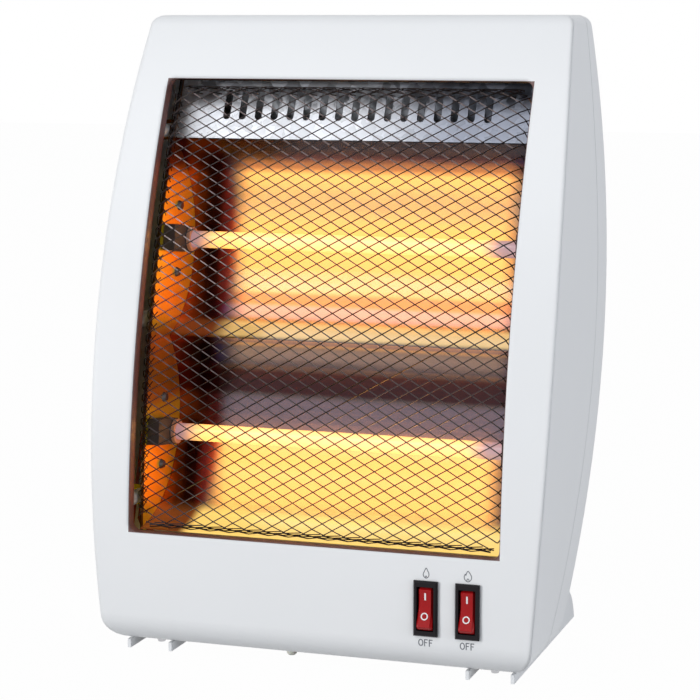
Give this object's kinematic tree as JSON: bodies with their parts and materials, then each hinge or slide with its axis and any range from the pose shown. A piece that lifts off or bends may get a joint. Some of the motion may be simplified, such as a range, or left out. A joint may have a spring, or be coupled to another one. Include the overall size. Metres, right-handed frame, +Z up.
{
  "type": "halogen heater",
  "caption": "Free-standing halogen heater: quartz tubes in a trough reflector behind a mesh guard, in a curved housing with rocker switches and runner feet.",
  "frame": {"origin": "on the floor, under the middle of the bounding box", "axes": "+X to the right as seen from the front, +Y to the back, +Z up"},
  "size_m": [0.273, 0.1667, 0.368],
  "materials": {
    "housing": "satin white moulded plastic",
    "feet": "satin white moulded plastic",
    "wire": "bright drawn wire, darker where it has been hot",
    "reflector": "polished sheet",
    "end_plates": "polished sheet",
    "galvanised": "galvanised sheet",
    "quartz": "clear quartz lit by the coil",
    "coil": "glowing resistance wire",
    "ceramic": "unglazed steatite",
    "steel": "zinc-plated",
    "brass": "tinned brass",
    "switch_body": "satin black moulded plastic",
    "rocker": "gloss red",
    "dark_plastic": "matt black",
    "plunger": "natural nylon",
    "block": "natural nylon",
    "wire_insulation": "glass-sleeved silicone insulation"
  },
  "bodies": {
    "heater": {"front_housing": "housing", "rear_cover": "housing", "foot_left": "feet", "foot_right": "feet", "grille": "wire", "reflector": "reflector", "end_plate_left": "end_plates", "end_plate_right": "end_plates", "top_vent_plate": "galvanised", "heat_shield": "galvanised", "quartz_tube_upper": "quartz", "quartz_tube_lower": "quartz", "heating_coil_upper": "coil", "heating_coil_lower": "coil", "tube_cap_upper_left": "ceramic", "tube_cap_upper_right": "ceramic", "tube_cap_lower_left": "ceramic", "tube_cap_lower_right": "ceramic", "tube_bracket_upper_left": "galvanised", "tube_bracket_upper_right": "galvanised", "tube_bracket_lower_left": "galvanised", "tube_bracket_lower_right": "galvanised", "bracket_screws": "steel", "lead_terminals": "brass", "chassis_screws": "steel", "switch_body_left": "switch_body", "switch_body_right": "switch_body", "switch_tabs": "brass", "tip_switch_body": "dark_plastic", "thermal_cutout": "dark_plastic", "terminal_block": "block", "wiring_left": "wire_insulation", "wiring_right": "wire_insulation", "wiring_supply": "wire_insulation", "cord_inlet": "dark_plastic", "rear_cover_screws": "steel", "foot_screws": "steel"},
    "left_rocker": {"rocker_left": "rocker"},
    "right_rocker": {"rocker_right": "rocker"},
    "tip_plunger": {"tip_switch_plunger": "plunger"}
  },
  "joints": [
    {"name": "left_rocker_hinge", "type": "hinge", "parent": "heater", "child": "left_rocker", "pos_m": [0.069, -0.07767, 0.0422], "axis": [1, 0, 0], "range_deg": [0, 20]},
    {"name": "right_rocker_hinge", "type": "hinge", "parent": "heater", "child": "right_rocker", "pos_m": [0.093, -0.07767, 0.0422], "axis": [1, 0, 0], "range_deg": [0, 20]},
    {"name": "tip_plunger_slide", "type": "slide", "parent": "heater", "child": "tip_plunger", "axis": [0, 0, -1], "range_m": [0, 0.005], "stiffness_N_per_m": 40, "springref_m": 0.012}
  ]
}
